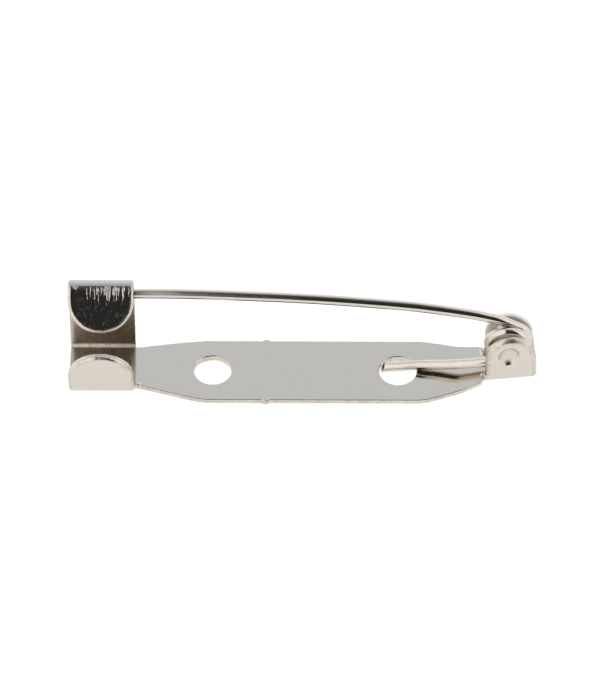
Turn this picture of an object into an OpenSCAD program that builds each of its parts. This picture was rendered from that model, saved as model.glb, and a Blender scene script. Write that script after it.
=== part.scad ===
// Bar pin finding: a stamped, nickel-plated bar with a rolled catch at one end
// and two dimpled ears at the other, which hold the coil of a pin wire.
// X runs along the bar, from the catch to the hinge. Z is up from the underside
// of the bar's middle, and the flap of the catch folds over towards -Y.

/* [Sheet and wire] */
// Thickness of the stamped sheet
sheet_t = 0.48; // [0.4:0.01:0.5]
// Diameter of the pin wire
wire_d = 0.68; // [0.6:0.01:0.69]

/* [Bar] */
// Overall length
total_len = 31.75; // [31.75:0.25:34]
// Width of the middle of the bar
bar_w = 5.35; // [5:0.05:5.4]
// Left end of the wide middle
bar_x0 = -6.9; // [-7.5:0.1:-6]
// Right end of the wide middle
bar_x1 = 8.2; // [8:0.1:9]
// Radius of the two fixing holes
hole_r = 1.28; // [1:0.01:1.4]
// Centre of the hole on the catch side
hole_x0 = -6.15; // [-6.3:0.05:-5.8]
// Distance between the two holes
hole_spacing = 12.6; // [12:0.1:13]
// Place of the shear nubs on both long edges
nub_x = -2.5; // [-4:0.1:4]
// How far a shear nub stands out
nub_out = 0.12; // [0.05:0.01:0.2]

/* [Catch] */
// Width of the catch along the bar
catch_w = 4.45; // [4.3:0.05:4.5]
// Height of the catch's base over the middle of the bar
catch_lift = 0.4; // [0.1:0.01:0.4]
// Distance from the middle line to the near tab's outer face
tab_y = 2.17; // [2:0.01:2.3]
// Outward lean of the near tab
tab_lean = 3.4; // [0:0.1:6]
// Height of the near tab's top
tab_top = 4.2; // [3.8:0.1:4.4]
// Distance from the middle line to the far wall's outer face
wall_y = 2.33; // [2.2:0.01:2.5]
// Outward lean of the far wall
wall_lean = 5; // [2:0.1:6]
// Height of the middle of the rolled fold
fold_z = 6.15; // [6:0.01:6.2]
// Outer radius of the rolled fold
fold_r = 0.81; // [0.8:0.01:0.9]
// How steeply the flap comes down from the fold, from the vertical
flap_angle = 49; // [40:1:55]
// Straight stretch of the flap before its round end
flap_straight = 0.6; // [0.4:0.05:0.8]
// Outer radius of the bends at the base of the catch
catch_bend_r = 0.6; // [0.55:0.01:0.8]

/* [Hinge] */
// Height of the hinge's base over the middle of the bar
hinge_lift = 0.73; // [0.5:0.01:0.8]
// Length of the hinge's base along the bar
hinge_len = 3.53; // [3.4:0.01:3.6]
// Distance from the middle line to the ears' outer faces at the bar's side
ear_y = 1.4; // [1.4:0.01:1.5]
// Outward lean of the near ear
near_lean = 5.5; // [4:0.1:6]
// Inward turn of the near ear towards the bar's end
near_toe = 6.6; // [0:0.1:6.6]
// Inward turn of the far ear towards the bar's end
far_toe = 3.3; // [0:0.1:3.3]
// Outer radius of the bends at the base of the ears
ear_bend_r = 0.6; // [0.55:0.01:0.7]
// Radius of the ears' round tops
ear_r = 1.62; // [1.6:0.01:1.75]
// Place of the pivot along the bar
pivot_x = 13.85; // [13.8:0.01:14]
// Height of the pivot
pivot_z = 3.51; // [3.5:0.01:3.7]
// Radius of a dimple at the ear's outer face
dimple_r = 0.78; // [0.6:0.01:0.8]
// Depth of a dimple from the ear's outer face
dimple_depth = 0.5; // [0.3:0.01:0.5]
// Thickness of the metal at a dimple's floor
dimple_wall = 0.3; // [0.2:0.01:0.32]

/* [Pin wire] */
// Radius of the coil at the middle of the wire
coil_r = 1.3; // [1.25:0.01:1.32]
// Place of the coil's far turn across the bar
far_turn_y = 0.33; // [0.3:0.01:0.36]
// Place of the coil's near turn across the bar
near_turn_y = -0.37; // [-0.38:0.01:-0.35]
// Length of the ground point
point_len = 2.4; // [1:0.1:3]

/* [Hidden] */
nickel = [0.78, 0.77, 0.74];
steel_wire = [0.70, 0.69, 0.68];
cut = 0.01;
far_off = 20;
bend_steps = 6;
fold_steps = 14;
round_steps = 96;
small_steps = 24;

bar_half = bar_w / 2;
end_x = total_len / 2;
catch_x0 = -end_x;
catch_x1 = catch_x0 + catch_w;
catch_mid = catch_x0 + catch_w / 2;
hinge_x0 = end_x - hinge_len;
ear_mid = hinge_x0 + ear_r;
// A dimple's width at its floor and half way up, as shares of its mouth's
dimple_floor = 0.45;
dimple_side = 0.8;
hole_x = [hole_x0, hole_x0 + hole_spacing];

// The bar's two ends run this far into the catch and the hinge, which they join
plate_lap = 0.6;
// Half the width of the neck beside the catch, and the round corner between them
neck_half = 1.82;
neck_fillet = 0.45;
// Half the width of the neck beside the hinge, and where it tucks in under the ears
hinge_neck_half = 1.5;
tuck_half = 1.1;
tuck_in = 0.2;
// Half the bar's width at stations along it
bar_outline = [
    // place, half width
    [catch_x1 - plate_lap, neck_half],
    [-10.9, neck_half],
    [-9.6, 2.1],
    [-8.1, 2.43],
    [bar_x0, bar_half],
    [bar_x1, bar_half],
    [9.4, 2.36],
    [10.7, 1.99],
    [12, hinge_neck_half],
    [hinge_x0 + tuck_in, tuck_half]
];
// Height of the bar's underside at stations along it
bar_underside = [
    // place, height
    [catch_x1 - plate_lap, catch_lift],
    [-11.3, catch_lift],
    [bar_x0, 0],
    [bar_x1, 0],
    [10.7, 0.235],
    [hinge_x0 - tuck_in, hinge_lift],
    [hinge_x0 + plate_lap, hinge_lift]
];

// The fold's centre lies where the leaning far wall's outer face is one radius away
fold_y = wall_y + (fold_z - catch_lift - catch_bend_r) * tan(wall_lean)
    - fold_r / cos(wall_lean) + catch_bend_r * (1 / cos(wall_lean) - 1);
flap_facing = 180 - flap_angle;
flap_len = flap_straight + catch_w / 2;

function unit(v) = v / norm(v);
function on_circle(c, r, a) = c + r * [cos(a), sin(a)];
function arc(c, r, a0, a1, n) = [for (i = [0:n]) on_circle(c, r, a0 + (a1 - a0) * i / n)];
function reversed(list) = [for (i = [len(list) - 1:-1:0]) list[i]];
function mirrored(list) = [for (p = list) [p[0], -p[1]]];
function raised(list, up) = [for (p = list) p + [0, up]];

// Side profile of a wall that bends up from a flat base. The base is y to the
// bend, z up, and the wall leans out and has the given length past the bend.
function wall_line(half, bend_r, lean, length, inset) =
    let (c = [half - bend_r, bend_r], r = bend_r - inset)
    concat(
        [[0, inset]],
        arc(c, r, -90, -lean, bend_steps),
        [on_circle(c, r, -lean) + length * [sin(lean), cos(lean)]]
    );
function wall_profile(half, bend_r, lean, length) = concat(
    wall_line(half, bend_r, lean, length, 0),
    reversed(wall_line(half, bend_r, lean, length, sheet_t))
);

// Side profile of the far wall with its fold and flap
function catch_line(inset) =
    let (
        c = [wall_y - catch_bend_r, catch_lift + catch_bend_r],
        f = [fold_y, fold_z]
    )
    concat(
        [[0, catch_lift + inset]],
        arc(c, catch_bend_r - inset, -90, -wall_lean, bend_steps),
        arc(f, fold_r - inset, -wall_lean, flap_facing, fold_steps),
        [on_circle(f, fold_r - inset, flap_facing)
            + (flap_len + cut) * [-sin(flap_facing), cos(flap_facing)]]
    );

// Extrudes a y-z profile along x, from x0 to x1
module along_bar(x0, x1) {
    translate([x0, 0, 0])
        rotate([90, 0, 90])
            linear_extrude(x1 - x0)
                children();
}

// Extrudes an x-z profile right through the part, along y
module across_bar() {
    translate([0, far_off / 2, 0])
        rotate([90, 0, 0])
            linear_extrude(far_off)
                children();
}

// A rectangle with a half round top
module arch(mid, r, z0, z1) {
    translate([mid - r, z0])
        square([2 * r, z1 - z0]);
    translate([mid, z1])
        circle(r, $fn = round_steps);
}

module bar_plan() {
    difference() {
        union() {
            polygon(concat(bar_outline, reversed(mirrored(bar_outline))));
            for (side = [-1, 1])
                translate([nub_x, side * (bar_half - nub_out)])
                    circle(2 * nub_out, $fn = small_steps);
            for (side = [0, 1])
                mirror([0, side])
                    neck_corner();
        }
        for (x = hole_x)
            translate([x, 0])
                circle(hole_r, $fn = round_steps);
    }
}

module neck_corner() {
    translate([catch_x1 - cut, neck_half - cut])
        difference() {
            square(neck_fillet);
            translate([neck_fillet, neck_fillet])
                circle(neck_fillet, $fn = round_steps);
        }
}

module bar_plate() {
    intersection() {
        across_bar()
            polygon(concat(bar_underside, reversed(raised(bar_underside, sheet_t))));
        linear_extrude(far_off, center = true)
            bar_plan();
    }
}

// What comes off the two corners of the flap to leave its round end
module flap_corners() {
    start = on_circle([fold_y, fold_z], fold_r - sheet_t / 2, flap_facing);
    translate([catch_mid, start[0], start[1]])
        rotate([90 + flap_facing, 0, 0])
            translate([0, 0, -sheet_t])
                linear_extrude(2 * sheet_t)
                    difference() {
                        translate([-catch_w, flap_straight])
                            square([2 * catch_w, catch_w]);
                        translate([0, flap_straight])
                            circle(catch_w / 2, $fn = round_steps);
                    }
}

module catch_strip() {
    intersection() {
        along_bar(catch_x0, catch_x1)
            mirror([1, 0])
                translate([0, catch_lift])
                    polygon(wall_profile(tab_y, catch_bend_r, tab_lean, tab_top));
        across_bar()
            arch(catch_mid, catch_w / 2, 0, tab_top - catch_w / 2);
    }
    difference() {
        along_bar(catch_x0, catch_x1)
            polygon(concat(catch_line(0), reversed(catch_line(sheet_t))));
        flap_corners();
    }
}

// One ear, with its half of the hinge's base, turned inwards by toe. It is drawn
// over-long and trimmed by the ears' side outline.
module ear(side, lean, toe) {
    translate([hinge_x0, side * ear_y, hinge_lift])
        rotate([0, 0, -side * toe])
            translate([0, -side * ear_y, 0])
                along_bar(-1, hinge_len + 1)
                    mirror([side < 0 ? 1 : 0, 0])
                        polygon(wall_profile(ear_y, ear_bend_r, lean, far_off / 4));
}

// The ears' side outline: a wide foot that narrows to the round top
module ear_side() {
    foot = [end_x, hinge_lift + ear_bend_r];
    top = [ear_mid, pivot_z];
    down = foot - top;
    meeting = atan2(down[1], down[0]) + acos(ear_r / norm(down));
    polygon([
        [hinge_x0, 0],
        [end_x, 0],
        foot,
        on_circle(top, ear_r, meeting),
        top,
        [hinge_x0, pivot_z]
    ]);
    translate([ear_mid, pivot_z])
        circle(ear_r, $fn = round_steps);
}

// Where the pivot's axis goes through the outer face of each ear
near_face = ear_y - (pivot_x - hinge_x0) * tan(near_toe)
    + (pivot_z - hinge_lift - ear_bend_r) * tan(near_lean);
far_face = ear_y - (pivot_x - hinge_x0) * tan(far_toe);

// The hollow of a dimple, as a turned profile: its mouth at height 0, its floor
// below, and open above. With grow it is the outside of the metal round it.
module dimple(grow) {
    rotate_extrude($fn = round_steps)
        polygon([
            [0, -dimple_depth - grow],
            [dimple_floor * dimple_r + grow / 2, -dimple_depth - grow],
            [dimple_side * dimple_r + grow / 2, -(dimple_depth + grow) / 2],
            [dimple_r + grow / 4, 0],
            [dimple_r + grow / 4, sheet_t],
            [0, sheet_t]
        ]);
}

// Puts a dimple's axis on the pivot, with its mouth y from the middle line
module at_pivot(side, y) {
    translate([pivot_x, side * y, pivot_z])
        rotate([-side * 90, 0, 0])
            children();
}

// The part of a dimple's metal that stands out of the ear's inner face, as a nib
module dimple_nib() {
    intersection() {
        dimple(dimple_wall);
        translate([0, 0, -sheet_t / 2 - far_off / 2])
            cube(far_off, center = true);
    }
}

module hinge_ears() {
    difference() {
        union() {
            intersection() {
                union() {
                    ear(-1, near_lean, near_toe);
                    ear(1, 0, far_toe);
                }
                across_bar()
                    ear_side();
            }
            at_pivot(-1, near_face)
                dimple_nib();
            at_pivot(1, far_face)
                dimple_nib();
        }
        at_pivot(-1, near_face)
            dimple(0);
        at_pivot(1, far_face)
            dimple(0);
    }
}

module base_bar() {
    color(nickel)
        union() {
            bar_plate();
            catch_strip();
            hinge_ears();
        }
}

// The needle's middle line, from its point inside the catch to the coil
needle_route = [
    // x, y, z
    [-15.1, 1.9, 5.99],
    [-13.4, 1.92, 6.02],
    [-11.4, 1.92, 6.05],
    [-8.1, 1.7, 6.27],
    [-4.1, 1.4, 6.43],
    [1.1, 1.0, 6.54],
    [6.4, 0.66, 6.36],
    [8.9, 0.52, 6.12],
    [11.2, 0.41, 5.77],
    [12.4, 0.36, 5.5],
    [13.45, 0.34, 5.16]
];
// The tail's middle line, from the coil to its cut end over a fixing hole
tail_route = [
    // x, y, z
    [12.1, -0.42, 1.86],
    [10.4, -0.23, 1.43],
    [9.1, 0, 1.15],
    [7.98, 0.13, 0.99],
    [6.7, 0.14, 0.92],
    [5.6, 0.12, 0.89]
];
// Angles round the pivot at which the needle and the tail leave the coil, which
// is wound backwards from the one to the other, and the angle between its rings
coil_start = 48;
coil_end = -450;
coil_step = 16;
// The half turn in which the wire crosses from the far turn to the near one
cross_start = -90;
cross_angle = 180;
needle_parts = 3;
wire_sides = 12;
// Share of the wire's radius left at the blunt end of its point
point_tip = 0.12;

function smooth(t) = t * t * (3 - 2 * t);
function coil_y(a) =
    let (t = (cross_start - a) / cross_angle)
    far_turn_y + (near_turn_y - far_turn_y) * smooth(max(0, min(1, t)));
function coil_point(a) = [pivot_x + coil_r * cos(a), coil_y(a), pivot_z + coil_r * sin(a)];
coil_route = [
    for (i = [0:ceil((coil_start - coil_end) / coil_step)])
        coil_point(max(coil_end, coil_start - coil_step * i))
];

// A smooth curve through the points, in so many parts between each two of them
function spline_at(p0, p1, p2, p3, t) = 0.5 * (
    2 * p1 + (p2 - p0) * t + (2 * p0 - 5 * p1 + 4 * p2 - p3) * t * t
    + (3 * p1 - p0 - 3 * p2 + p3) * t * t * t
);
function spline(p, parts) = [
    for (i = [0:len(p) - 2], k = [0:parts - 1])
        spline_at(p[max(i - 1, 0)], p[i], p[i + 1], p[min(i + 2, len(p) - 1)], k / parts)
];

needle_line = spline(concat(needle_route, [coil_route[0]]), needle_parts);
wire_line = concat(needle_line, coil_route, tail_route);
function heading(p, i) = unit(p[min(i + 1, len(p) - 1)] - p[max(i - 1, 0)]);
function point_radius(x) =
    let (t = (x - needle_route[0][0]) / point_len)
    wire_d / 2 * (t < 1 ? point_tip + (1 - point_tip) * sqrt(max(t, 0)) : 1);
function ring(c, along, r) =
    let (u = unit([0, 1, 0] - along[1] * along), v = cross(along, u))
    [for (k = [0:wire_sides - 1]) c + r * (cos(360 * k / wire_sides) * u
        + sin(360 * k / wire_sides) * v)];

module pin_wire() {
    n = wire_sides;
    m = len(wire_line);
    rings = [for (i = [0:m - 1]) ring(wire_line[i], heading(wire_line, i),
        i < len(needle_line) ? point_radius(wire_line[i][0]) : wire_d / 2)];
    color(steel_wire)
        polyhedron(
            points = [for (r = rings) each r],
            faces = concat(
                [[for (k = [0:n - 1]) k]],
                [reversed([for (k = [0:n - 1]) (m - 1) * n + k])],
                [for (i = [0:m - 2], k = [0:n - 1])
                    [i * n + k, (i + 1) * n + (k + 1) % n, i * n + (k + 1) % n]],
                [for (i = [0:m - 2], k = [0:n - 1])
                    [i * n + k, (i + 1) * n + k, (i + 1) * n + (k + 1) % n]]
            )
        );
}

base_bar();
pin_wire();
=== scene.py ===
import math

import bpy
import numpy as np
from mathutils import Matrix, Vector
from mathutils.geometry import delaunay_2d_cdt
from mathutils.kdtree import KDTree


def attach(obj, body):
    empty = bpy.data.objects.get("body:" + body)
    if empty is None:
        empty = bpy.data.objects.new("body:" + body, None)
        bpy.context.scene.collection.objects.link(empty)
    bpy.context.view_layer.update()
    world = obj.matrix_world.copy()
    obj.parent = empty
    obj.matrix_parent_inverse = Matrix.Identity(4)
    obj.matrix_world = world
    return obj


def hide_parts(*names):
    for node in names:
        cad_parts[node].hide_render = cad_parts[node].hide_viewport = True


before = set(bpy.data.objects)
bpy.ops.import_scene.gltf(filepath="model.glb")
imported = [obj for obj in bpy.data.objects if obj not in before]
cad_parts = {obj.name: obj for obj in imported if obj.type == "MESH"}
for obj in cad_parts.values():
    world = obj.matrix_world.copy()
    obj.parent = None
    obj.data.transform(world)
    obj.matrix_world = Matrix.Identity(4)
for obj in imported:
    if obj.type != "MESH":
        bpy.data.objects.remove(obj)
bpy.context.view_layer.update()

# Shape sizes are millimetres and leans and turns are degrees, as in the part's own
# drawing. A mesh is scaled to metres when it is made.
MM = 0.001

# Sheet and bar
SHEET = 0.48
END_X = 15.875
BAR_HALF = 2.68
HOLE_R = 1.28
HOLES = (-6.15, 6.45)
NUB_X = -2.5
NUB_OUT = 0.12

# Catch: near tab, far wall, rolled fold and flap
CATCH_W = 4.45
CATCH_X1 = -END_X + CATCH_W
CATCH_MID = -END_X + CATCH_W / 2
CATCH_LIFT = 0.4
BEND_R = 0.6
TAB_Y, TAB_LEAN, TAB_TOP = 2.17, 3.4, 4.2
WALL_Y, WALL_LEAN = 2.33, 5.0
FOLD_Z, FOLD_R = 6.15, 0.81
FLAP_ANGLE, FLAP_STRAIGHT = 49.0, 0.6

# Hinge: base, ears and dimples
HINGE_LIFT = 0.73
EAR_R = 1.62
HINGE_X0 = 12.345
EAR_Y = 1.4
EAR_MID = HINGE_X0 + EAR_R
PIVOT_X, PIVOT_Z = 13.85, 3.51
NEAR_LEAN, NEAR_TOE = 5.5, 6.6
FAR_LEAN, FAR_TOE = 0.0, 3.3
DIMPLE_R, DIMPLE_DEPTH, DIMPLE_EASE = 0.74, 0.36, 0.03
DIMPLE_REACH, DIMPLE_TALL = 0.93, 1.3

# Heights of the sheet's underside: (place along the bar, height), joined with eased turns
RISE = [(-11.3, CATCH_LIFT), (-6.9, 0.0), (8.2, 0.0), (10.7, 0.235), (12.145, HINGE_LIFT)]
RISE_EASE = 0.16

# How far along the bar the bends of the catch and of the hinge take to flatten out
CATCH_RUN_OUT = 0.5
HINGE_RUN_OUT = 0.3
# The ears toe in, so their folding is worked out from a little before the run-out
HINGE_MARGIN = 0.3
HINGE_FOLD_U = HINGE_X0 - HINGE_RUN_OUT - HINGE_MARGIN

# Pin wire
WIRE_R = 0.34
COIL_R = 1.3
FAR_TURN_Y, NEAR_TURN_Y = 0.33, -0.37
COIL_START, COIL_END = 48.0, -450.0
CROSS_START, CROSS_ANGLE = -90.0, 180.0
POINT_LEN = 2.4
POINT_TIP = 0.12
NEEDLE_ROUTE = [
    (-15.1, 1.9, 5.99), (-13.4, 1.92, 6.02), (-11.4, 1.92, 6.05), (-8.1, 1.7, 6.27),
    (-4.1, 1.4, 6.43), (1.1, 1.0, 6.54), (6.4, 0.66, 6.36), (8.9, 0.52, 6.12),
    (11.2, 0.41, 5.77), (12.4, 0.36, 5.5), (13.45, 0.34, 5.16),
]
TAIL_ROUTE = [
    (12.1, -0.43, 1.86), (10.4, -0.23, 1.43), (9.1, 0.0, 1.12), (7.98, 0.16, 0.9),
    (6.7, 0.26, 0.66), (5.25, 0.4, 0.39),
]


def smooth(t):
    """An eased step from 0 to 1."""
    t = np.clip(t, 0.0, 1.0)
    return t * t * (3 - 2 * t)


# Folding the blank. A blank point is (u, v, w): u along the bar, v across the
# unrolled sheet, w through it from the outer face (0) to the inner one (SHEET).

MID_R = BEND_R - SHEET / 2
# A last flat run that is longer than any wall
ENDLESS = 99.0


def wall_path(half, lean):
    """The middle of a sheet that runs flat and bends up once, as (kind, length, radius)."""
    turn = math.radians(90 - lean)
    return [("flat", half - BEND_R, 0), ("bend", MID_R * turn, MID_R), ("flat", ENDLESS, 0)]


def far_wall_path():
    """The far wall's path: base, bend, wall, rolled fold and flap."""
    lean = math.radians(WALL_LEAN)
    rise = FOLD_Z - CATCH_LIFT - BEND_R - (FOLD_R - BEND_R) * math.sin(lean)
    turn = math.radians(180 - FLAP_ANGLE + WALL_LEAN)
    fold_mid = FOLD_R - SHEET / 2
    base, bend, _ = wall_path(WALL_Y, WALL_LEAN)
    wall = ("flat", rise / math.cos(lean), 0)
    return [base, bend, wall, ("bend", fold_mid * turn, fold_mid), ("flat", ENDLESS, 0)]


def path_length(path, parts):
    return sum(p[1] for p in path[:parts])


def follow(path, v, w, bent):
    """Places points at distance v along the path and w through the sheet.

    bent, from 0 to 1, is how far the bends are made.
    """
    y, z, a = np.zeros_like(v), np.full_like(v, SHEET / 2), np.zeros_like(v)
    left = v.copy()
    for kind, length, radius in path:
        if kind == "flat":
            step = np.minimum(left, length)
            y, z = y + step * np.cos(a), z + step * np.sin(a)
        else:
            step = np.clip(left, 0, length * bent)
            b = a + step / radius
            y = y + radius * (np.sin(b) - np.sin(a))
            z = z + radius * (np.cos(a) - np.cos(b))
            a = b
        left = left - step
    return y - (w - SHEET / 2) * np.sin(a), z + (w - SHEET / 2) * np.cos(a)


TAB_PATH = wall_path(TAB_Y, TAB_LEAN)
WALL_PATH = far_wall_path()
EAR_PATHS = {-1: wall_path(EAR_Y, NEAR_LEAN), 1: wall_path(EAR_Y, FAR_LEAN)}
TOES = {-1: math.radians(NEAR_TOE), 1: math.radians(FAR_TOE)}
LEANS = {-1: math.radians(NEAR_LEAN), 1: math.radians(FAR_LEAN)}
# Where the far wall's bend, its rolled fold and its flap begin across the blank
BEND_V = path_length(WALL_PATH, 1)
FOLD_V = path_length(WALL_PATH, 3)
FLAP_V = path_length(WALL_PATH, 4)


def wall_length(height, lean):
    """The length of a leaning wall from its bend up to a height over the sheet's underside."""
    return (height - BEND_R * (1 - math.sin(lean))) / math.cos(lean)


def to_ear(side, u, v):
    """Blank coordinates to an ear's own: along its bend line, and out from the middle line."""
    c, s = math.cos(TOES[side]), math.sin(TOES[side])
    dx, dy = u - HINGE_X0, side * v - EAR_Y
    return c * dx - s * dy, s * dx + c * dy + EAR_Y


def from_ear(side, x, y):
    """The way back from to_ear, used for blank points and for folded ones."""
    c, s = math.cos(TOES[side]), math.sin(TOES[side])
    dy = y - EAR_Y
    return HINGE_X0 + c * x + s * dy, side * (EAR_Y - s * x + c * dy)


def bar_lift(x):
    """How far the sheet's underside lies above the back face at places along the bar."""
    z, slope = np.full_like(x, RISE[0][1]), 0.0
    for (x0, z0), (x1, z1) in zip(RISE, RISE[1:] + [(END_X, RISE[-1][1])]):
        turn = (z1 - z0) / (x1 - x0) - slope
        z = z + turn * RISE_EASE * np.logaddexp(0, (x - x0) / RISE_EASE)
        slope += turn
    return z


def ear_centre(side):
    """An ear's middles: (along to the round top's, out to both, along to the dimple's)."""
    out = path_length(EAR_PATHS[side], 2) + wall_length(PIVOT_Z - HINGE_LIFT, LEANS[side])
    across = math.cos(TOES[side])
    return (EAR_MID - HINGE_X0) / across, out, (PIVOT_X - HINGE_X0) / across


def from_dimple(side, ex, ey):
    """Distance of an ear's points from its dimple's middle, as if the dimple were round."""
    _, out, along = ear_centre(side)
    return np.hypot(ex - along, (ey - out) / DIMPLE_TALL)


def dimple_depth(r):
    """How far a dimple presses the sheet in: a bowl, flat in its middle, with an eased rim."""
    bowl = DIMPLE_DEPTH * (1 - (r / DIMPLE_R) ** 3)
    eased = 0.5 * (bowl + np.sqrt(bowl ** 2 + DIMPLE_EASE ** 2))
    return eased * (1 - smooth((r - DIMPLE_R) / (DIMPLE_REACH - DIMPLE_R)))


def fold_blank(p):
    """Blank points (n by 3) folded into the finished bar, in millimetres."""
    u, v, w = p[:, 0], p[:, 1], p[:, 2]
    x, y, z = u.copy(), v.copy(), w.copy()
    in_catch = u < CATCH_X1 + CATCH_RUN_OUT
    for side, path in ((-1, TAB_PATH), (1, WALL_PATH)):
        m = in_catch & (side * v > 0)
        bent = 1 - smooth((u[m] - CATCH_X1) / CATCH_RUN_OUT)
        out, z[m] = follow(path, side * v[m], w[m], bent)
        y[m] = side * out
    in_hinge = u > HINGE_FOLD_U
    for side, path in EAR_PATHS.items():
        m = in_hinge & (side * v > 0)
        ex, ey = to_ear(side, u[m], v[m])
        cup = dimple_depth(from_dimple(side, ex, ey))
        bent = smooth((ex + HINGE_RUN_OUT) / HINGE_RUN_OUT)
        ey, z[m] = follow(path, ey, w[m] + cup, bent)
        x[m], y[m] = from_ear(side, ex, ey)
    return np.column_stack([x, y, z + bar_lift(x)])


def folded_normals(p, n):
    """Blank-space normals n carried through the fold, by the fold's own derivatives."""
    step = 1e-4
    cols = [(fold_blank(p + step * e) - fold_blank(p - step * e)) / (2 * step) for e in np.eye(3)]
    jac = np.stack(cols, axis=2)
    out = np.linalg.solve(np.transpose(jac, (0, 2, 1)), n[..., None])[..., 0]
    return out / np.linalg.norm(out, axis=1, keepdims=True)


# The blank's outline, in blank coordinates, counter-clockwise from the near tab

OUTLINE_STEP = 0.09
SAME_POINT = 1e-4
NECK_HALF, NECK_FILLET = 1.72, 0.12
EAR_FILLET, EAR_FILLET_MID, EAR_FOOT = 0.1, 0.03, 1.5
# The long edge beside the catch and beside the hinge: (place along the bar, half width)
CATCH_NECK = [
    (CATCH_X1 + NECK_FILLET, NECK_HALF), (-10.9, 1.78), (-10.6, 1.86), (-9.6, 2.1),
    (-8.1, 2.43), (-7.2, 2.61), (-6.6, BAR_HALF),
]
HINGE_NECK = [
    (7.95, BAR_HALF), (8.5, 2.6), (9.4, 2.36), (10.7, 1.99),
    (11.4, 1.8), (11.9, 1.66), (12.1, 1.58),
]
# The nub that the shears left: (distance from its middle, height)
NUB = [(-0.32, 0), (-0.13, 0.1), (0, NUB_OUT), (0.13, 0.1), (0.32, 0)]
# Unevenness of the sheared edge: its height, and (frequency, start) of its waves
SHEAR_HEIGHT = 0.0035
SHEAR_WAVES = ((4.7, 0.3), (7.9, 1.9), (12.7, 4.0), (19.0, 2.2))
# At a corner an inset is stretched to at most one over this
CORNER_LIMIT = 0.6


def arc(cx, cy, r, a0, a1):
    """Points on an arc from angle a0 to a1, no further apart than the outline's step."""
    n = max(3, math.ceil(abs(math.radians(a1 - a0)) * r / OUTLINE_STEP))
    turns = [math.radians(a) for a in np.linspace(a0, a1, n + 1)]
    return [(cx + r * math.cos(a), cy + r * math.sin(a)) for a in turns]


def bar_edge():
    """The long edge from the catch's neck to the hinge's, as (u, half width)."""
    return CATCH_NECK + [(NUB_X + k, BAR_HALF + h) for k, h in NUB] + HINGE_NECK


def ear_outline(side):
    """An ear's outline from the bar's side round its top to the hinge's end."""
    mid, out, _ = ear_centre(side)
    corner = [
        (-EAR_FILLET, EAR_FOOT), (-EAR_FILLET_MID, EAR_FOOT + EAR_FILLET_MID),
        (0.0, EAR_FOOT + EAR_FILLET),
    ]
    end = ((END_X - HINGE_X0) / math.cos(TOES[side]), EAR_Y)
    return [from_ear(side, x, y) for x, y in corner + arc(mid, out, mid, 180, 0) + [end]]


def blank_outline():
    half = CATCH_W / 2
    tab_v = path_length(TAB_PATH, 2)
    tab_v += wall_length(TAB_TOP - half - CATCH_LIFT, math.radians(TAB_LEAN))
    fillet_u = CATCH_X1 + NECK_FILLET
    fillet_v = NECK_HALF + NECK_FILLET
    near = arc(CATCH_MID, -tab_v, half, 180, 360)
    near += arc(fillet_u, -fillet_v, NECK_FILLET, 180, 90)
    near += [(u, -v) for u, v in bar_edge()] + ear_outline(-1)
    far = ear_outline(1)[::-1] + bar_edge()[::-1]
    far += arc(fillet_u, fillet_v, NECK_FILLET, 270, 180)
    far += arc(CATCH_MID, FLAP_V + FLAP_STRAIGHT, half, 0, 180)
    return near + far


def resample(points):
    """A closed outline cut into pieces no longer than OUTLINE_STEP, corners kept."""
    out = []
    for a, b in zip(points, points[1:] + points[:1]):
        n = max(1, math.ceil(math.dist(a, b) / OUTLINE_STEP))
        out += [(a[0] + (b[0] - a[0]) * k / n, a[1] + (b[1] - a[1]) * k / n) for k in range(n)]
    return np.array([p for p, q in zip(out, out[1:] + out[:1]) if math.dist(p, q) > SAME_POINT])


def outward(loop):
    """Outward normals of a closed loop whose inside lies on its left.

    The second array has them stretched at corners, so that an inset keeps its width.
    """
    ahead = np.roll(loop, -1, axis=0) - loop
    ahead /= np.linalg.norm(ahead, axis=1, keepdims=True)
    behind = np.roll(ahead, 1, axis=0)
    n = np.column_stack([ahead[:, 1] + behind[:, 1], -ahead[:, 0] - behind[:, 0]])
    n /= np.linalg.norm(n, axis=1, keepdims=True)
    cos_half = (n * np.column_stack([ahead[:, 1], -ahead[:, 0]])).sum(1)
    return n, n / np.clip(cos_half, CORNER_LIMIT, 1)[:, None]


def sheared(loop):
    """The outline with the small unevenness that shears leave."""
    n, _ = outward(loop)
    run = np.cumsum(np.linalg.norm(loop - np.roll(loop, 1, axis=0), axis=1))
    wave = sum(np.sin(run * f + p) for f, p in SHEAR_WAVES)
    return loop + SHEAR_HEIGHT * wave[:, None] * n


# Edge of the stamped sheet: well rounded on the outer face, where the die drew it
# in, and nearly sharp on the inner one
OUTER_ROUND, EAR_ROUND, INNER_ROUND, HOLE_ROUND = 0.22, 0.33, 0.045, 0.07
OUTER_STEPS, INNER_STEPS = 6, 3
# The ears' larger rounding sets in over this length, this far before the hinge
EAR_ROUND_RUN, EAR_ROUND_LEAD = 0.3, 0.1


def edge_layers(loop, is_hole):
    """Layers from the outer face's edge to the inner's: (inset, w, the normal's angle)."""
    ears = smooth((loop[:, 0] - HINGE_X0 + EAR_ROUND_LEAD) / EAR_ROUND_RUN)
    outer = OUTER_ROUND + (EAR_ROUND - OUTER_ROUND) * ears
    inner = INNER_ROUND * (1 + ears)
    if is_hole:
        outer = inner = np.full(len(loop), HOLE_ROUND)
    layers = []
    for k in range(OUTER_STEPS + 1):
        a = math.radians(90 * (1 - k / OUTER_STEPS))
        layers.append((outer * (1 - math.cos(a)), outer * (1 - math.sin(a)), -a))
    for k in range(INNER_STEPS + 1):
        a = math.radians(90 * k / INNER_STEPS)
        layers.append((inner * (1 - math.cos(a)), SHEET - inner * (1 - math.sin(a)), a))
    return layers


# Filling the blank's two faces with points and triangles

# Points that are tested together, to bound the memory
CHUNK = 4000
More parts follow.
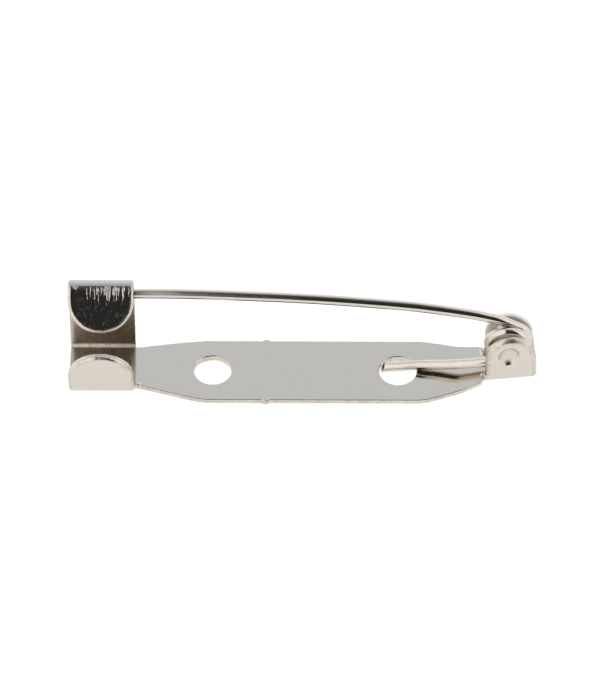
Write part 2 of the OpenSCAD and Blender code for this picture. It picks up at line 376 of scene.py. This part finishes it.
# A point this close to an outline is left out
LOOP_ROOM = 0.05
CORNER_TOLERANCE = 1e-7
# Rings round a dimple: their radii, the step along them, the fewest points on one, and
# the room outside the last that is kept free of other points
RING_RADII = np.concatenate([
    np.arange(0.05, 0.66, 0.05), np.arange(0.68, DIMPLE_REACH + 0.01, 0.025),
])
RING_STEP, RING_LEAST, RING_ROOM = 0.07, 8, 0.06
# The fold's fine lines, and the runs of (first, last, step) that several blocks use
FOLD_FROM, FOLD_TO = FOLD_V - 0.05, FLAP_V + 0.05
CATCH_ALONG = [(-END_X + 0.25, CATCH_X1, 0.3)]
NECK_ACROSS = [(-2.5, 2.5, 0.25)]
GRID = [
    # runs along the bar, side, runs across it
    (CATCH_ALONG, -1, [(1.48, 2.24, 0.06), (2.5, 5.4, 0.4)]),
    (CATCH_ALONG, 1, [
        (0, 1.5, 0.4), (1.66, 2.36, 0.06), (2.7, FOLD_V - 0.3, 0.4),
        (FOLD_FROM, FOLD_TO, 0.06), (FOLD_TO + 0.3, 11.4, 0.4),
    ]),
    (CATCH_ALONG, -1, [(0.3, 1.4, 0.4)]),
    ([(CATCH_X1 + 0.15, -8.4, 0.15)], 1, NECK_ACROSS),
    ([(-8.0, 7.4, 0.6)], 1, [(-2.4, 2.4, 0.4)]),
    ([(7.6, HINGE_FOLD_U - 0.1, 0.12)], 1, NECK_ACROSS),
    ([(HINGE_FOLD_U, HINGE_X0, 0.07)], 1, [
        (-1.62, -0.6, 0.06), (-0.4, 0.4, 0.2), (0.6, 1.62, 0.06),
    ]),
    ([(HINGE_X0 + 0.1, END_X, 0.16)], 1, [(-1.5, -0.25, 0.05), (0, 0, 1), (0.25, 1.5, 0.05)]),
    ([(HINGE_X0 + 0.1, END_X, 0.3)], 1, [(-6, -1.8, 0.3), (1.8, 6, 0.3)]),
]


def inside(points, loops):
    """Even-odd test of points against closed loops."""
    odd = np.zeros(len(points), bool)
    for loop in loops:
        a, b = loop, np.roll(loop, -1, axis=0)
        for start in range(0, len(points), CHUNK):
            some = slice(start, start + CHUNK)
            x, y = points[some, 0, None], points[some, 1, None]
            cross = (a[:, 1] > y) != (b[:, 1] > y)
            with np.errstate(divide="ignore", invalid="ignore"):
                at = (b[:, 0] - a[:, 0]) * (y - a[:, 1]) / (b[:, 1] - a[:, 1]) + a[:, 0]
            odd[some] ^= (np.count_nonzero(cross & (x < at), axis=1) % 2).astype(bool)
    return odd


def lines(runs):
    """Sorted grid lines from runs of (first, last, step)."""
    return np.unique(np.round(np.concatenate([np.arange(a, b + 1e-9, s) for a, b, s in runs]), 4))


def dimple_rings(side):
    """A dimple's middle and the rings of points round it."""
    _, out, along = ear_centre(side)
    rings = [np.array([from_ear(side, along, out)])]
    for r in RING_RADII:
        count = max(RING_LEAST, round(2 * math.pi * r / RING_STEP))
        a = np.arange(count) * 2 * math.pi / count
        x, y = along + r * np.cos(a), out + DIMPLE_TALL * r * np.sin(a)
        rings.append(np.column_stack(from_ear(side, x, y)))
    return rings


def grid_points():
    """Points that the fold needs inside the blank: close together in bends and dimples."""
    blocks = []
    for along, side, across in GRID:
        blocks.append(np.array(np.meshgrid(lines(along), side * lines(across))).reshape(2, -1).T)
    points = np.vstack(blocks)
    rings = []
    for side in (-1, 1):
        ex, ey = to_ear(side, points[:, 0], points[:, 1])
        points = points[from_dimple(side, ex, ey) > DIMPLE_REACH + RING_ROOM]
        rings += dimple_rings(side)
    return np.vstack([points] + rings)


def fill_face(loops, extra):
    """Points and triangles that fill the loops' inside. Loop points come first, in order."""
    ring = np.vstack(loops)
    tree = KDTree(len(ring))
    for i, p in enumerate(ring):
        tree.insert((p[0], p[1], 0), i)
    tree.balance()
    extra = extra[inside(extra, loops)]
    extra = np.array([p for p in extra if tree.find((p[0], p[1], 0))[2] > LOOP_ROOM])
    points = np.vstack([ring, extra])
    edges, start = [], 0
    for loop in loops:
        n = len(loop)
        edges += [(start + i, start + (i + 1) % n) for i in range(n)]
        start += n
    corners = [Vector(p) for p in points]
    verts, _, faces, origin, _, _ = delaunay_2d_cdt(corners, edges, [], 0, CORNER_TOLERANCE)
    if len(verts) != len(points):
        raise ValueError("the blank's outline crosses itself")
    index = np.array([o[0] for o in origin])
    tri = index[np.array(faces)]
    keep = inside(points[tri].mean(axis=1), loops)
    return points, tri[keep]


def new_mesh(name, points, faces, normals, maps):
    """A mesh object from millimetre points, with its own corner normals and flat maps."""
    mesh = bpy.data.meshes.new(name)
    mesh.from_pydata((points * MM).tolist(), [], [list(f) for f in faces])
    corners = np.empty(len(mesh.loops), np.int32)
    mesh.loops.foreach_get("vertex_index", corners)
    for title, uv in maps.items():
        mesh.uv_layers.new(name=title).data.foreach_set("uv", uv[corners].ravel())
    mesh.polygons.foreach_set("use_smooth", [True] * len(mesh.polygons))
    mesh.update()
    mesh.normals_split_custom_set_from_vertices(normals.tolist())
    obj = bpy.data.objects.new(name, mesh)
    bpy.context.scene.collection.objects.link(obj)
    return obj


def cut_edges(loops):
    """The rounded cut edges of the blank: its rings by level, points, normals and faces."""
    sides = [outward(loop) for loop in loops]
    layers = [edge_layers(loop, k > 0) for k, loop in enumerate(loops)]
    count = sum(len(x) for x in loops)
    levels = len(layers[0])
    rings, flat, normal, faces = [], [], [], []
    for level in range(levels):
        rings.append([])
        for loop, (n, stretched), layer in zip(loops, sides, layers):
            inset, w, tilt = layer[level]
            q = loop - inset[:, None] * stretched
            rings[level].append(q)
            flat.append(np.column_stack([q, w]))
            up = np.full(len(q), math.sin(tilt))
            normal.append(np.column_stack([n * math.cos(tilt), up]))
    for level in range(levels - 1):
        start = level * count
        for loop in loops:
            n = len(loop)
            for i in range(n):
                a, b = start + i, start + (i + 1) % n
                faces.append((a, b, b + count, a + count))
            start += n
    return rings, flat, normal, faces


def make_bar():
    """The stamped blank, with rounded cut edges, folded into the bar with its catch and ears."""
    loops = [sheared(resample(blank_outline()))]
    loops += [resample(arc(x, 0, HOLE_R, 360, 0)[:-1]) for x in HOLES]
    count = sum(len(x) for x in loops)
    rings, flat, normal, faces = cut_edges(loops)
    levels = len(rings)
    extra = grid_points()
    for level, w, up in ((0, 0.0, -1), (levels - 1, SHEET, 1)):
        points, tri = fill_face(rings[level], extra)
        more = points[count:]
        base = sum(len(x) for x in flat)
        index = np.concatenate([level * count + np.arange(count), base + np.arange(len(more))])
        flat.append(np.column_stack([more, np.full(len(more), w)]))
        normal.append(np.tile([0.0, 0.0, up], (len(more), 1)))
        faces += [tuple(t[::up]) for t in index[tri].tolist()]
    flat, normal = np.vstack(flat), np.vstack(normal)
    on_edge = np.arange(len(flat)) < levels * count
    sheet = np.column_stack([flat[:, 2] / SHEET, on_edge.astype(float)])
    maps = {"blank": flat[:, :2], "sheet": sheet}
    return new_mesh("stamped_bar", fold_blank(flat), faces, folded_normals(flat, normal), maps)


# The pin wire

WIRE_SIDES = 32
# Degrees of the coil between two rings, and rings between two points of a route
COIL_PART = 6.0
SPLINE_PARTS = 14
# The tail's cut end has a small bevel. Its rings' angles are radians, and the last
# one's slope is kept finite.
TAIL_BEVEL = 0.04
BEVEL_ANGLES = (0, 0.5, 1.0, math.pi / 2)
BEVEL_SLOPES = (0, math.tan(0.5), math.tan(1.0), math.tan(1.4))
BEVELS = len(BEVEL_ANGLES)
# The shears cut the tail at a slant, so that its end faces partly this way
CUT_SIDE, CUT_SLOPE, CUT_REACH = np.array([0.0, -0.1, 0.995]), 0.6, 1.0


def spline(points):
    """A smooth curve through the points, without its last one."""
    p = np.array(points, float)
    out = []
    for i in range(len(p) - 1):
        p0, p1, p2, p3 = p[max(i - 1, 0)], p[i], p[i + 1], p[min(i + 2, len(p) - 1)]
        for t in np.arange(SPLINE_PARTS) / SPLINE_PARTS:
            out.append(0.5 * (2 * p1 + (p2 - p0) * t + (2 * p0 - 5 * p1 + 4 * p2 - p3) * t ** 2
                              + (3 * p1 - p0 - 3 * p2 + p3) * t ** 3))
    return out


def coil_point(a):
    """The coil's middle line at an angle: a far turn that crosses over to a near one."""
    t = smooth((CROSS_START - a) / CROSS_ANGLE)
    y = FAR_TURN_Y + (NEAR_TURN_Y - FAR_TURN_Y) * float(t)
    r = math.radians(a)
    return np.array([PIVOT_X + COIL_R * math.cos(r), y, PIVOT_Z + COIL_R * math.sin(r)])


def wire_rings():
    """The wire's middle line and its radius along it."""
    count = round((COIL_START - COIL_END) / COIL_PART) + 1
    coil = [coil_point(a) for a in np.linspace(COIL_START, COIL_END, count)]
    needle = spline(NEEDLE_ROUTE + [tuple(coil[0])])
    tail = spline([tuple(coil[-1])] + TAIL_ROUTE)[1:] + [np.array(TAIL_ROUTE[-1])]
    line = np.array(needle + coil + tail)
    radius = np.full(len(line), WIRE_R)
    t = np.clip((line[:len(needle), 0] - NEEDLE_ROUTE[0][0]) / POINT_LEN, 0, 1)
    radius[:len(needle)] *= POINT_TIP + (1 - POINT_TIP) * np.sqrt(t)
    ahead = line[-1] - line[-2]
    ahead /= np.linalg.norm(ahead)
    bevel = [line[-1] - ahead * TAIL_BEVEL * (1 - math.sin(a)) for a in BEVEL_ANGLES]
    shrink = [WIRE_R - TAIL_BEVEL * (1 - math.cos(a)) for a in BEVEL_ANGLES]
    return np.vstack([line[:-1], bevel]), np.concatenate([radius[:-1], shrink])


def make_wire():
    """The needle, coil and tail as one swept tube."""
    line, radius = wire_rings()
    n, m = WIRE_SIDES, len(line)
    along = np.gradient(line, axis=0)
    along[-BEVELS:] = line[-BEVELS - 1] - line[-BEVELS - 2]
    along /= np.linalg.norm(along, axis=1, keepdims=True)
    u = np.array([0, 1, 0]) - along[:, 1:2] * along
    u /= np.linalg.norm(u, axis=1, keepdims=True)
    v = np.cross(along, u)
    a = np.arange(n) * 2 * math.pi / n
    spoke = np.cos(a)[None, :, None] * u[:, None] + np.sin(a)[None, :, None] * v[:, None]
    points = line[:, None] + radius[:, None, None] * spoke
    run = np.concatenate([[0], np.cumsum(np.linalg.norm(np.diff(line, axis=0), axis=1))])
    share = np.clip(1 - (run[-1] - run) / CUT_REACH, 0, 1)
    drawn_back = share[:, None] * CUT_SLOPE * (radius[:, None] * (spoke @ CUT_SIDE) + WIRE_R)
    points = (points - drawn_back[..., None] * along[:, None]).reshape(-1, 3)
    uv = np.column_stack([np.repeat(run, n), np.tile(a, m)])
    slope = -np.gradient(radius, run, edge_order=1)
    slope[-BEVELS:] = BEVEL_SLOPES
    normal = spoke + slope[:, None, None] * along[:, None]
    normal = (normal / np.linalg.norm(normal, axis=2, keepdims=True)).reshape(-1, 3)
    faces = [
        (i * n + k, i * n + (k + 1) % n, (i + 1) * n + (k + 1) % n, (i + 1) * n + k)
        for i in range(m - 1) for k in range(n)
    ]
    # The two ends are closed with fans of their own points, so that they stay flat
    facing = along[-1] + CUT_SLOPE * CUT_SIDE
    for ring, way, face in ((0, -1, -along[0]), (m - 1, 1, facing / np.linalg.norm(facing))):
        base = len(points)
        rim = points[ring * n:(ring + 1) * n]
        points = np.vstack([points, rim, rim.mean(axis=0)])
        normal = np.vstack([normal, np.tile(face, (n + 1, 1))])
        uv = np.vstack([uv, np.tile([run[ring], 0.0], (n + 1, 1))])
        faces += [(base + k, base + (k + 1) % n, base + n)[::way] for k in range(n)]
    return new_mesh("sprung_wire", points, faces, normal, {"blank": uv})


# Materials


class Nodes:
    """Short calls for making a material's nodes."""

    def __init__(self, tree):
        self.tree = tree

    def add(self, kind, **values):
        node = self.tree.nodes.new(kind)
        for key, value in values.items():
            if hasattr(node, key):
                setattr(node, key, value)
            else:
                node.inputs[key.replace("_", " ")].default_value = value
        return node

    def link(self, a, b):
        self.tree.links.new(a, b)

    def flat_map(self, name):
        return self.add("ShaderNodeUVMap", uv_map=name).outputs["UV"]

    def split(self, vector):
        node = self.add("ShaderNodeSeparateXYZ")
        self.link(vector, node.inputs[0])
        return node.outputs["X"], node.outputs["Y"], node.outputs["Z"]

    def noise(self, vector, scale, detail=2.0, roughness=0.5):
        node = self.add("ShaderNodeTexNoise", Scale=scale, Detail=detail, Roughness=roughness)
        self.link(vector, node.inputs["Vector"])
        return node.outputs["Fac"]

    def spread(self, value, low, high, to_low, to_high):
        node = self.add("ShaderNodeMapRange")
        for k, x in enumerate((low, high, to_low, to_high), start=1):
            node.inputs[k].default_value = x
        self.link(value, node.inputs[0])
        return node.outputs[0]

    def rise(self, value, low, high):
        """0 below low, 1 above high."""
        return self.spread(value, low, high, 0.0, 1.0)

    def fall(self, value, low, high):
        """1 below low, 0 above high."""
        return self.spread(value, low, high, 1.0, 0.0)

    def between(self, value, a, b, c, d):
        """1 where value lies between b and c, falling to 0 at a and d."""
        return self.times(self.rise(value, a, b), self.fall(value, c, d))

    def math(self, operation, a, b=None):
        node = self.add("ShaderNodeMath", operation=operation)
        for k, x in enumerate((a, b)):
            if x is None:
                continue
            if isinstance(x, (int, float)):
                node.inputs[k].default_value = x
            else:
                self.link(x, node.inputs[k])
        return node.outputs[0]

    def plus(self, a, b):
        return self.math("ADD", a, b)

    def times(self, a, b):
        return self.math("MULTIPLY", a, b)

    def most(self, a, b):
        return self.math("MAXIMUM", a, b)

    def scaled(self, vector, sizes):
        node = self.add("ShaderNodeMapping")
        node.inputs["Scale"].default_value = sizes
        self.link(vector, node.inputs["Vector"])
        return node.outputs["Vector"]

    def mix(self, amount, first, second):
        """A colour that goes from the first, which may be a node's output, to the second."""
        node = self.add("ShaderNodeMix", data_type="RGBA")
        self.link(amount, node.inputs["Factor"])
        if isinstance(first, tuple):
            node.inputs["A"].default_value = (*first, 1)
        else:
            self.link(first, node.inputs["A"])
        node.inputs["B"].default_value = (*second, 1)
        return node.outputs["Result"]

    def bump(self, height, distance, strength, under=None):
        node = self.add("ShaderNodeBump", Distance=distance, Strength=strength)
        self.link(height, node.inputs["Height"])
        if under is not None:
            self.link(under, node.inputs["Normal"])
        return node.outputs["Normal"]


def start_material(name):
    mat = bpy.data.materials.new(name)
    mat.use_nodes = True
    mat.node_tree.nodes.clear()
    n = Nodes(mat.node_tree)
    shader = n.add("ShaderNodeBsdfPrincipled")
    out = n.add("ShaderNodeOutputMaterial")
    n.link(shader.outputs[0], out.inputs["Surface"])
    return mat, n, shader


# Colours. The tints below the nickel's are what they multiply the nickel's colour by.
NICKEL = (0.635, 0.592, 0.53)
# Painted shade inside the catch; it also darkens the worn edges
SHEET_SHADE_AND_WEAR = (0.66, 0.55, 0.42)
WIRE_STAIN = (0.93, 0.92, 0.9)
# Painted shade on the rolled fold
FOLD_PAINTED_SHADE, FOLD_PAINTED_SHADE_SHARE = (0.36, 0.36, 0.36), 0.6
# White for painted light at the catch's corner, its rim and the ears, and for the specks
PAINTED_LIGHT_AND_SPECK_WHITE, PAINTED_LIGHT_AND_SPECK_WHITE_SHARE = (1.0, 0.97, 0.93), 0.95

# Noise scales: per metre where the noise follows the object, per millimetre on the
# sheet's blank, and on the wire per millimetre along it and per radian round it
CLOUD_SCALE, MOTTLE_SCALE, WEAR_SCALE = 260.0, 2600.0, 1900.0
GRAIN_SCALES = (1500.0, 9000.0, 9000.0)
SPECK_SCALES = (5200.0, 2600.0, 2600.0)
STREAK_SCALES = (7.0, 0.5, 1.0)
DRAWN_SCALES = (0.35, 9.0, 1.0)
WIRE_SPECK_SCALES = (3.0, 2.0, 1.0)

# Places on the blank, in millimetres, as the limits of a mask. The V limits count from
# the start of the flap, the painted corner highlight's from the start of the bend, the dimple's
# from its middle.
MARKS_MIDDLE, MARKS_HALF = -13.1, (0.6, 1.9)
MARKS_V = (-0.5, -0.1, 0.0, 1.5)
DENT_U = (-15.6, -15.4, -15.3, -15.0)
DENT_V = (-0.42, -0.3, -0.2, -0.05)
FOLD_DULL_AND_SHADE_V = (-1.3, -0.9, -0.5, -0.1)
# Where the painted highlight along the far wall's bend lies
CORNER_HIGHLIGHT_V = (-0.08, -0.02, 0.56, 0.66)
RIM_U, RIM_WANDER = (-15.66, -15.5), 0.12
DIMPLE_U = (-0.85, -0.55, 0.55, 0.85)
DIMPLE_V = (-1.1, -0.7, 0.7, 1.1)

# Roughness, as single values or as ranges that the mottle runs through
POLISHED_ROUGH, DULL_ROUGH = (0.07, 0.12), (0.26, 0.42)
FOLD_ROUGH, CATCH_EDGE_ROUGH, DIMPLE_ROUGH = (0.16, 0.26), (0.2, 0.4), (0.3, 0.42)
MARK_ROUGH, SPECK_ROUGH, EAR_ROUGH, WEAR_ROUGH = 0.42, 0.3, 0.34, 0.3
WIRE_ROUGH = (0.07, 0.17)

# How white and matte the plate is made at its rim and on the ears, as painted highlights, and in
# the specks, and how strongly the scratches, the dent and the worn edges show
RIM_PAINTED_HIGHLIGHT, EAR_PAINTED_LIGHT, SPECK_MILK = 0.45, 0.7, 0.22
MARKS_SHARE, DENT_SHARE, WEAR_SHARE = 0.28, 0.5, 0.4

# Bumps: (depth in metres, strength)
CLOUD_BUMP, GRAIN_BUMP = (0.00001, 0.15), (0.0000015, 0.2)
WEAR_BUMP, MARK_BUMP = (0.000004, 0.4), (0.00002, 0.8)
DRAWN_BUMP = (0.000008, 0.25)


def nickel_tint(n, amount, darkening):
    """Nickel's colour, going to a darkened one with amount."""
    return n.mix(amount, NICKEL, tuple(c * d for c, d in zip(NICKEL, darkening)))


def from_start(start, limits):
    return [start + x for x in limits]


class SheetMasks:
    """Where a point lies on the sheet, from 0 to 1, and the noises that vary its look."""

    def __init__(self, n):
        self.place = n.add("ShaderNodeTexCoord").outputs["Object"]
        blank = n.flat_map("blank")
        self.u, self.v, _ = n.split(blank)
        self.through, on_edge, _ = n.split(n.flat_map("sheet"))
        self.cloud = n.noise(self.place, CLOUD_SCALE, 3.0)
        self.mottle = n.noise(self.place, MOTTLE_SCALE, 3.0, 0.6)
        self.streak = n.noise(n.scaled(blank, STREAK_SCALES), 1.0, 3.0, 0.7)
        self.inside = n.rise(self.through, 0.9, 0.97)
        self.edge = n.rise(on_edge, 0.96, 1.0)
        self.in_catch = n.fall(self.u, CATCH_X1 - 0.1, CATCH_X1 + 0.15)
        self.catch_inside = n.times(self.inside, self.in_catch)
        up_ear = n.rise(n.math("ABSOLUTE", self.v), EAR_Y - 0.2, EAR_Y + 0.1)
        self.on_ear = n.times(n.rise(self.u, HINGE_X0, HINGE_X0 + 0.1), up_ear)
        self.on_fold = n.between(self.v, *from_start(FLAP_V, FOLD_DULL_AND_SHADE_V))
        worn = n.noise(self.place, WEAR_SCALE, 4.0, 0.65)
        self.wear = n.times(self.edge, n.rise(worn, 0.42, 0.62))
        dots = n.noise(n.scaled(self.place, SPECK_SCALES), 1.0, 2.0, 0.7)
        specks = n.times(n.rise(self.v, FLAP_V, FLAP_V + 0.2), n.rise(dots, 0.55, 0.7))
        self.specks = n.times(specks, n.spread(self.cloud, 0.35, 0.65, 0.3, 1.0))


def flap_marks(n, s):
    """Scratches and a dent on the outer face, where the flap was bent."""
    off_middle = n.math("ABSOLUTE", n.math("SUBTRACT", s.u, MARKS_MIDDLE))
    across = n.spread(off_middle, *MARKS_HALF, 1.0, 0.3)
    band = n.times(across, n.between(s.v, *from_start(FLAP_V, MARKS_V)))
    dent = n.times(n.between(s.u, *DENT_U), n.between(s.v, *from_start(FLAP_V, DENT_V)))
    band = n.most(n.times(band, MARKS_SHARE), n.times(dent, DENT_SHARE))
    marks = n.rise(n.plus(s.streak, band), 0.74, 0.82)
    return n.times(marks, n.fall(s.through, 0.03, 0.1))


def paint_corner_highlight(n, s):
    """A painted highlight along the far wall's bend, and a weaker one at the catch's outer end."""
    corner_highlight = n.between(s.v, *from_start(BEND_V, CORNER_HIGHLIGHT_V))
    corner_highlight = n.times(n.times(corner_highlight, s.in_catch), s.inside)
    wander = n.spread(s.streak, 0.3, 0.7, 0.0, RIM_WANDER)
    rim = n.times(s.catch_inside, n.fall(n.plus(s.u, wander), *RIM_U))
    return n.most(corner_highlight, n.times(rim, RIM_PAINTED_HIGHLIGHT))


def paint_light_and_specks(n, s, corner_highlight):
    """Where the plate is made white and matte: painted highlights in the corner and on the ears'
    insides and far edges, and real specks.
    """
    painted_light_and_specks = n.times(corner_highlight, n.spread(n.plus(s.streak, s.mottle), 0.75, 1.15, 0.45, 1.0))
    far_edge = n.times(s.edge, n.rise(s.v, 0.0, 0.1))
    on_ear = n.times(s.on_ear, n.most(s.inside, far_edge))
    painted_light_and_specks = n.most(painted_light_and_specks, n.times(on_ear, EAR_PAINTED_LIGHT))
    return n.most(painted_light_and_specks, n.times(s.specks, SPECK_MILK))


def sheet_roughness(n, s, marks):
    """The polished sheet's roughness, raised wherever one of the masks is stronger."""
    dimples = []
    for side in (-1, 1):
        _, out, mid = ear_centre(side)
        u, v = from_ear(side, mid, out)
        across = n.between(s.v, *from_start(v, DIMPLE_V))
        dimples.append(n.times(n.between(s.u, *from_start(u, DIMPLE_U)), across))
    rough = n.spread(s.cloud, 0.3, 0.7, *POLISHED_ROUGH)
    for mask, value in (
        (s.catch_inside, n.spread(s.mottle, 0.3, 0.7, *DULL_ROUGH)),
        (s.on_fold, n.spread(s.mottle, 0.35, 0.65, *FOLD_ROUGH)),
        (marks, MARK_ROUGH),
        (s.specks, SPECK_ROUGH),
        (n.times(s.on_ear, n.most(s.inside, s.edge)), EAR_ROUGH),
        (s.wear, WEAR_ROUGH),
        (n.times(s.edge, s.in_catch), n.spread(s.mottle, 0.35, 0.65, *CATCH_EDGE_ROUGH)),
        (dimples[0], n.spread(s.mottle, 0.35, 0.65, *DIMPLE_ROUGH)),
        (dimples[1], n.spread(s.mottle, 0.35, 0.65, *DIMPLE_ROUGH)),
    ):
        rough = n.most(rough, n.times(mask, value))
    return rough


def sheet_colour(n, s, corner_highlight, painted_light_and_specks):
    """Nickel, with painted shade inside the catch and on the fold, wear at worn edges, and white
    for painted highlights and specks.
    """
    blotch = n.plus(n.times(s.mottle, 0.6), n.times(s.streak, 0.4))
    # Painted shade inside the catch, mottled, with the worn edges' real darkening on top
    darkening = n.times(s.catch_inside, n.spread(blotch, 0.42, 0.58, 0.3, 0.95))
    darkening = n.most(darkening, n.times(s.wear, WEAR_SHARE))
    colour = nickel_tint(n, n.times(darkening, n.fall(corner_highlight, 0.0, 1.0)), SHEET_SHADE_AND_WEAR)
    # Painted shade on the rolled fold
    colour = n.mix(n.times(s.on_fold, FOLD_PAINTED_SHADE_SHARE), colour, FOLD_PAINTED_SHADE)
    # White for painted light at the corner, rim and ears, and for the real specks
    return n.mix(n.times(painted_light_and_specks, PAINTED_LIGHT_AND_SPECK_WHITE_SHARE), colour, PAINTED_LIGHT_AND_SPECK_WHITE)


def nickel_sheet():
    """Bright nickel on rolled sheet, with duller, speckled, scratched and worn places, painted
    shade and painted highlights.
    """
    mat, n, shader = start_material("nickel_sheet")
    s = SheetMasks(n)
    marks = flap_marks(n, s)
    corner_highlight = paint_corner_highlight(n, s)
    painted_light_and_specks = paint_light_and_specks(n, s, corner_highlight)
    n.link(n.math("SUBTRACT", 1.0, painted_light_and_specks), shader.inputs["Metallic"])
    n.link(sheet_roughness(n, s, marks), shader.inputs["Roughness"])
    n.link(sheet_colour(n, s, corner_highlight, painted_light_and_specks), shader.inputs["Base Color"])
    grain = n.noise(n.scaled(s.place, GRAIN_SCALES), 1.0, 2.0)
    normal = n.bump(s.cloud, *CLOUD_BUMP)
    normal = n.bump(grain, *GRAIN_BUMP, normal)
    normal = n.bump(s.wear, *WEAR_BUMP, normal)
    n.link(n.bump(marks, *MARK_BUMP, normal), shader.inputs["Normal"])
    return mat


def nickel_wire():
    """Bright nickel on drawn wire: fine lines along the wire."""
    mat, n, shader = start_material("nickel_wire")
    shader.inputs["Metallic"].default_value = 1.0
    blank = n.flat_map("blank")
    drawn = n.noise(n.scaled(blank, DRAWN_SCALES), 1.0, 3.0)
    specks = n.noise(n.scaled(blank, WIRE_SPECK_SCALES), 1.0, 4.0, 0.6)
    n.link(n.spread(specks, 0.35, 0.75, *WIRE_ROUGH), shader.inputs["Roughness"])
    tint = nickel_tint(n, n.rise(specks, 0.4, 0.7), WIRE_STAIN)
    n.link(tint, shader.inputs["Base Color"])
    n.link(n.bump(drawn, *DRAWN_BUMP), shader.inputs["Normal"])
    return mat


def light_table():
    """A pale sheet that glows, so that nothing throws a hard shadow on it."""
    mat, n, shader = start_material("light_table")
    place = n.add("ShaderNodeTexCoord").outputs["Object"]
    shade = n.mix(n.noise(place, 40.0), (0.3, 0.3, 0.3), (0.29, 0.29, 0.29))
    n.link(shade, shader.inputs["Base Color"])
    shader.inputs["Roughness"].default_value = 0.9
    shader.inputs["Specular IOR Level"].default_value = 0.1
    shader.inputs["Emission Color"].default_value = (1.0, 1.0, 1.0, 1)
    shader.inputs["Emission Strength"].default_value = 0.88
    return mat


# Camera, floor and light

# The tent's colour by the angle from the front horizon, over the top, to the back one
TENT = [
    (0, (0.9, 0.89, 0.88)),
    (38, (0.96, 0.95, 0.94)),
    (50, (0.98, 0.98, 0.98)),
    (112, (0.95, 0.95, 0.96)),
    (124, (0.57, 0.603, 0.649)),
    (138, (0.57, 0.603, 0.649)),
    (148, (0.9, 0.9, 0.91)),
    (180, (0.85, 0.85, 0.85)),
]
TENT_STRENGTH = 1.4
# The tent's dark opening: limits of its angle and of its direction's X part. It comes
# forward by SLANT half turns for each unit of X above SLANT_FROM, and is paler at the back.
OPENING_ANGLES = (0, 9, 102, 128)
OPENING_X = (-0.33, -0.17, 0.55, 0.75)
OPENING_COLOUR = (0.022, 0.022, 0.023)
SLANT_FROM, SLANT = 0.22, 0.6
PALER_ANGLES, PALER = (62, 95), 0.93

VIEW_ELEVATION = math.radians(48.0)
CAMERA_AWAY = 0.29
CAMERA_ROLL = math.radians(0.2)
SENSOR = 36.0
IMAGE_W, IMAGE_H = 600, 680
PIXELS_PER_MM = 14.66
ORIGIN_PX = (303.0, 375.0)

FLOOR_HALF = 1.5
FLOOR_DROP = 0.00001


def half_turns(angles):
    return [a / 180 for a in angles]


def make_camera():
    """The photograph's view, 48 degrees down on the near side from nearly parallel rays."""
    data = bpy.data.cameras.new("camera")
    data.sensor_width = SENSOR
    data.lens = PIXELS_PER_MM / MM * CAMERA_AWAY * data.sensor_width / IMAGE_H
    data.clip_start, data.clip_end = 0.01, 50.0
    cam = bpy.data.objects.new("camera", data)
    bpy.context.scene.collection.objects.link(cam)
    back = Vector((0, -math.cos(VIEW_ELEVATION), math.sin(VIEW_ELEVATION)))
    turn = back.to_track_quat("Z", "Y").to_matrix() @ Matrix.Rotation(CAMERA_ROLL, 3, "Z")
    right, up = turn.col[0], turn.col[1]
    off_x = (IMAGE_W / 2 - ORIGIN_PX[0]) / PIXELS_PER_MM * MM
    off_y = (ORIGIN_PX[1] - IMAGE_H / 2) / PIXELS_PER_MM * MM
    place = Matrix.Translation(right * off_x + up * off_y + back * CAMERA_AWAY)
    cam.matrix_world = place @ turn.to_4x4()
    bpy.context.scene.camera = cam


def make_floor():
    mesh = bpy.data.meshes.new("floor")
    corners = [(-1, -1), (1, -1), (1, 1), (-1, 1)]
    mesh.from_pydata([(FLOOR_HALF * x, FLOOR_HALF * y, 0) for x, y in corners], [], [(0, 1, 2, 3)])
    obj = bpy.data.objects.new("floor", mesh)
    obj.location.z = -FLOOR_DROP
    bpy.context.scene.collection.objects.link(obj)
    mesh.materials.append(light_table())


def make_light():
    """A pale tent all round, with a dark opening from the front horizon to past the top."""
    world = bpy.data.worlds.new("studio")
    bpy.context.scene.world = world
    world.use_nodes = True
    world.node_tree.nodes.clear()
    n = Nodes(world.node_tree)
    x, y, z = n.split(n.add("ShaderNodeTexCoord").outputs["Generated"])
    angle = n.math("DIVIDE", n.math("ARCTAN2", z, n.times(y, -1.0)), math.pi)
    ramp = n.add("ShaderNodeValToRGB")
    band = ramp.color_ramp
    while len(band.elements) < len(TENT):
        band.elements.new(0.5)
    for element, (degrees, colour) in zip(band.elements, TENT):
        element.position = degrees / 180
        element.color = (*colour, 1)
    n.link(angle, ramp.inputs[0])
    slant = n.times(n.most(n.math("SUBTRACT", x, SLANT_FROM), 0.0), SLANT)
    dark = n.between(n.plus(angle, slant), *half_turns(OPENING_ANGLES))
    dark = n.times(dark, n.between(x, *OPENING_X))
    dark = n.times(dark, n.spread(angle, *half_turns(PALER_ANGLES), 1.0, PALER))
    sky = n.add("ShaderNodeBackground", Strength=TENT_STRENGTH)
    n.link(n.mix(dark, ramp.outputs[0], OPENING_COLOUR), sky.inputs["Color"])
    out = n.add("ShaderNodeOutputWorld")
    n.link(sky.outputs[0], out.inputs["Surface"])


make_camera()
make_floor()
make_light()

bar = make_bar()
bar.data.materials.append(nickel_sheet())
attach(bar, "bar")
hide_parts("base_bar")

wire = make_wire()
wire.data.materials.append(nickel_wire())
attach(wire, "pin")
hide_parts("pin_wire")

bpy.context.scene.view_settings.view_transform = "Standard"
